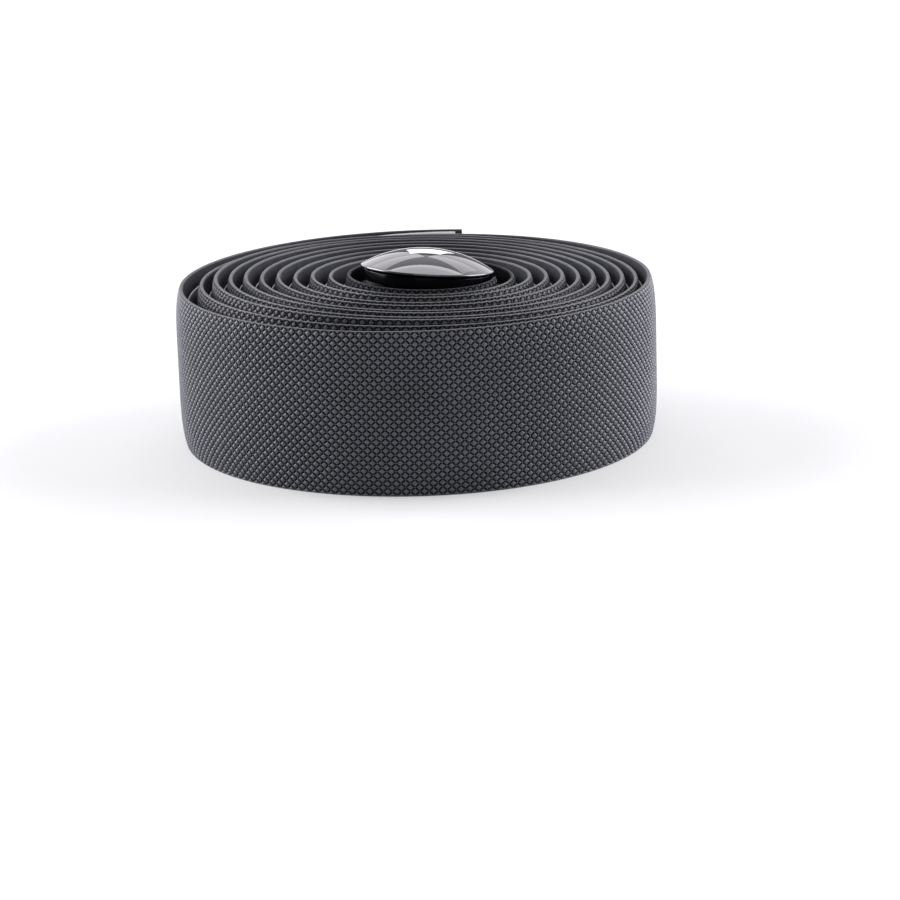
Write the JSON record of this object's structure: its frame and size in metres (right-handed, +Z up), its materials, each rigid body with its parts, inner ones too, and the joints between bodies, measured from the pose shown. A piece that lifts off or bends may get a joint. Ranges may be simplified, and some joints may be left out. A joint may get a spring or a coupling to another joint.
{
  "type": "handlebar tape roll",
  "caption": "Roll of embossed charcoal handlebar tape with its backing film, standing on its edge, with a glossy domed bar-end plug resting in the core.",
  "frame": {"origin": "on the surface, under the middle of the roll's box", "axes": "+Z up, along the roll's axis towards the domed plug; -Y towards the viewer; the tape's outer end is at the back, +Y"},
  "size_m": [0.0906, 0.0928, 0.0358],
  "materials": {
    "tape_skin": "matte, embossed with small diamonds",
    "film": "smooth, satin",
    "plug_black": "glossy",
    "cap_gloss": "polished"
  },
  "bodies": {
    "root": {"tape": "tape_skin", "backing_film": "film", "plug_body": "plug_black", "plug_cap": "cap_gloss"}
  },
  "joints": []
}
